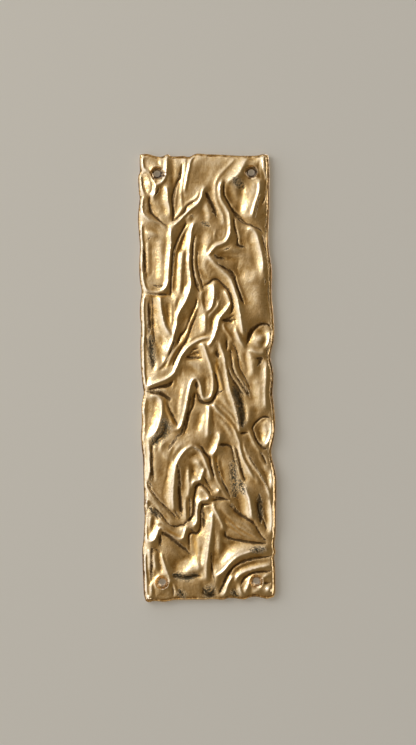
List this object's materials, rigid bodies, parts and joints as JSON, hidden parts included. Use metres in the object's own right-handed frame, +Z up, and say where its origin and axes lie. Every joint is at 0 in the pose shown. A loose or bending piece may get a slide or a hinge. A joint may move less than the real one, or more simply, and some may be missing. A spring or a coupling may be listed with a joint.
{
  "type": "door finger plate",
  "caption": "Tall cast finger plate for a door: flat back, screw holes in the corners, front covered with soft folds like draped molten metal.",
  "frame": {"origin": "centre of the flat back face, which lies against the door", "axes": "+Z up along the height, +X along the width, +Y back into the door, so the folded front faces -Y"},
  "size_m": [0.0905, 0.0085, 0.3],
  "materials": {
    "cast_brass": "polished on the crests, darkened in the hollows"
  },
  "bodies": {
    "root": {"finger_plate": "cast_brass"}
  },
  "joints": []
}
